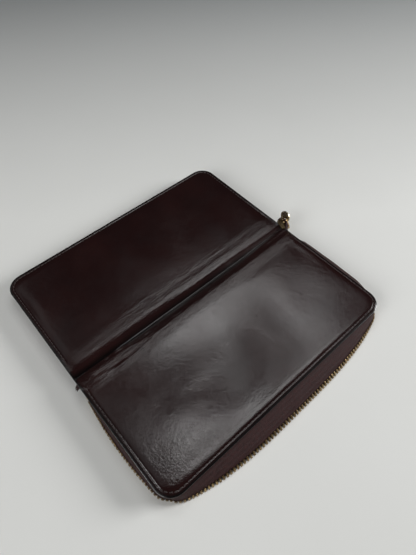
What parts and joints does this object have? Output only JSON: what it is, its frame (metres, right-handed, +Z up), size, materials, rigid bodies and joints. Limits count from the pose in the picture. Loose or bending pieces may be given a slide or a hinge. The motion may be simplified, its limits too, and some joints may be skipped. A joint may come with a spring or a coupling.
{
  "type": "zip around wallet",
  "caption": "Long zip around wallet in glazed dark brown leather, lying open with its outer faces up and its metal zip undone.",
  "frame": {"origin": "middle of the open wallet's footprint, on the surface it lies on", "axes": "+X along the spine towards the closed end of the zip, +Y across the spine from the near half to the far half, +Z up, out of the outer leather"},
  "size_m": [0.2082, 0.2074, 0.0186],
  "materials": {
    "outer_leather": "gloss",
    "inner_leather": "satin",
    "lining": "matte",
    "board": "matte",
    "zip_tape": "matte",
    "zip_metal": "satin",
    "thread": "satin"
  },
  "bodies": {
    "near_half": {"card_slot_near_left_1": "inner_leather", "card_slot_near_left_2": "inner_leather", "card_slot_near_left_3": "inner_leather", "card_slot_near_left_4": "inner_leather", "card_slot_near_right_1": "inner_leather", "card_slot_near_right_2": "inner_leather", "card_slot_near_right_3": "inner_leather", "card_slot_near_right_4": "inner_leather", "coin_pocket_back": "lining", "coin_pocket_base": "lining", "coin_pocket_front": "lining", "coin_pocket_side_left": "lining", "coin_pocket_side_right": "lining", "coin_zip_stops": "zip_metal", "coin_zip_tape_lower": "zip_tape", "coin_zip_tape_upper": "zip_tape", "coin_zip_teeth_lower": "zip_metal", "coin_zip_teeth_upper": "zip_metal", "lining_near": "lining", "outer_leather_near": "outer_leather", "stiffener_near": "board", "stitching_near": "thread", "top_stop_near": "zip_metal", "zip_tape_near": "zip_tape", "zip_teeth_near": "zip_metal"},
    "spine_near": {"bottom_stop": "zip_metal", "spine_leather_near": "outer_leather", "spine_lining_near": "lining", "zip_chain_end": "zip_metal", "zip_tail_near": "zip_tape", "zip_tape_end_far": "zip_tape", "zip_tape_end_near": "zip_tape"},
    "spine_far": {"spine_leather_far": "outer_leather", "spine_lining_far": "lining", "zip_tail_far": "zip_tape"},
    "far_half": {"card_slot_far_left_1": "inner_leather", "card_slot_far_left_2": "inner_leather", "card_slot_far_left_3": "inner_leather", "card_slot_far_left_4": "inner_leather", "card_slot_far_right_1": "inner_leather", "card_slot_far_right_2": "inner_leather", "card_slot_far_right_3": "inner_leather", "card_slot_far_right_4": "inner_leather", "lining_far": "lining", "note_pocket": "inner_leather", "outer_leather_far": "outer_leather", "stiffener_far": "board", "stitching_far": "thread", "top_stop_far": "zip_metal", "zip_tape_far": "zip_tape", "zip_teeth_far": "zip_metal"},
    "zip_slider": {"zip_slider": "zip_metal"},
    "zip_puller": {"zip_puller": "zip_metal"},
    "coin_zip_slider": {"coin_zip_slider": "zip_metal"},
    "coin_zip_puller": {"coin_zip_puller": "zip_metal"}
  },
  "joints": [
    {"name": "fold_near", "type": "hinge", "parent": "near_half", "child": "spine_near", "pos_m": [-0.0029, -0.00385, 0.0114], "axis": [-1, 0, 0], "range_deg": [0, 60]},
    {"name": "fold_middle", "type": "hinge", "parent": "spine_near", "child": "spine_far", "pos_m": [-0.0029, 0.0062, 0.0056], "axis": [-1, 0, 0], "range_deg": [0, 60]},
    {"name": "fold_far", "type": "hinge", "parent": "spine_far", "child": "far_half", "pos_m": [-0.0029, 0.01625, 0.0114], "axis": [-1, 0, 0], "range_deg": [0, 60]},
    {"name": "zip_travel", "type": "slide", "parent": "spine_near", "child": "zip_slider", "axis": [0, -0.5, -0.866], "range_m": [0, 0.005]},
    {"name": "pull_swing", "type": "hinge", "parent": "zip_slider", "child": "zip_puller", "pos_m": [0.10168, 0.0086, 0.00976], "axis": [0, 0.866, -0.5], "range_deg": [-5, 161]},
    {"name": "coin_zip_travel", "type": "slide", "parent": "near_half", "child": "coin_zip_slider", "axis": [1, 0, 0], "range_m": [0, 0.146]},
    {"name": "coin_pull_swing", "type": "hinge", "parent": "coin_zip_slider", "child": "coin_zip_puller", "pos_m": [-0.0759, -0.0819, 0.00335], "axis": [0, 0, -1], "range_deg": [0, 120]}
  ],
  "couplings": [
    {"joint": "fold_middle", "follows": "fold_near", "ratio": 1},
    {"joint": "fold_far", "follows": "fold_near", "ratio": 1}
  ]
}
